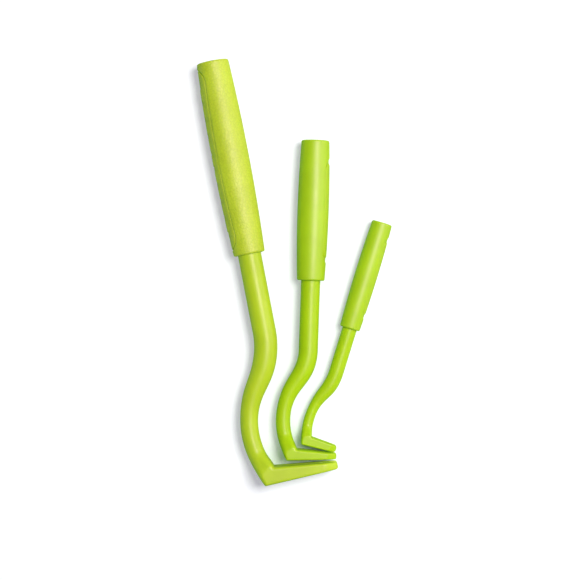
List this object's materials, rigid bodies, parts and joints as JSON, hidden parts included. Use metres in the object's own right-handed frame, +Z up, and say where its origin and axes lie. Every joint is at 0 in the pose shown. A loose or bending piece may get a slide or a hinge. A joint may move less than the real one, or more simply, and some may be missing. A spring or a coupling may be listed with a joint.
{
  "type": "tick removal hook set",
  "caption": "Graduated set of plastic tick removal hooks, each with a barrel grip, an S-bent neck and a slotted wedge claw, lying nested side by side.",
  "frame": {"origin": "on the surface the set lies on, under the middle of the set's bounding box", "axes": "+Z up, +Y along the set from the claws towards the grips' butts, +X the way the claws point"},
  "size_m": [0.061, 0.133, 0.0114],
  "materials": {
    "grained_grip": "lime green, fine crackled grain",
    "satin_grip": "lime green, satin",
    "smooth_shank": "lime green, smooth, slightly glossy",
    "grained_strip": "lime green, fine crackled grain, raised pips",
    "satin_strip": "lime green, satin"
  },
  "bodies": {
    "large_hook": {"large_grip": "grained_grip", "large_shank": "smooth_shank", "large_strip": "grained_strip"},
    "medium_hook": {"medium_grip": "satin_grip", "medium_shank": "smooth_shank", "medium_strip": "satin_strip"},
    "small_hook": {"small_grip": "satin_grip", "small_shank": "smooth_shank", "small_strip": "satin_strip"}
  },
  "joints": [
    {"name": "medium_lift", "type": "slide", "parent": "large_hook", "child": "medium_hook", "axis": [0, 0, 1], "range_m": [0, 0.03]},
    {"name": "small_lift", "type": "slide", "parent": "large_hook", "child": "small_hook", "axis": [0, 0, 1], "range_m": [0, 0.05]}
  ]
}
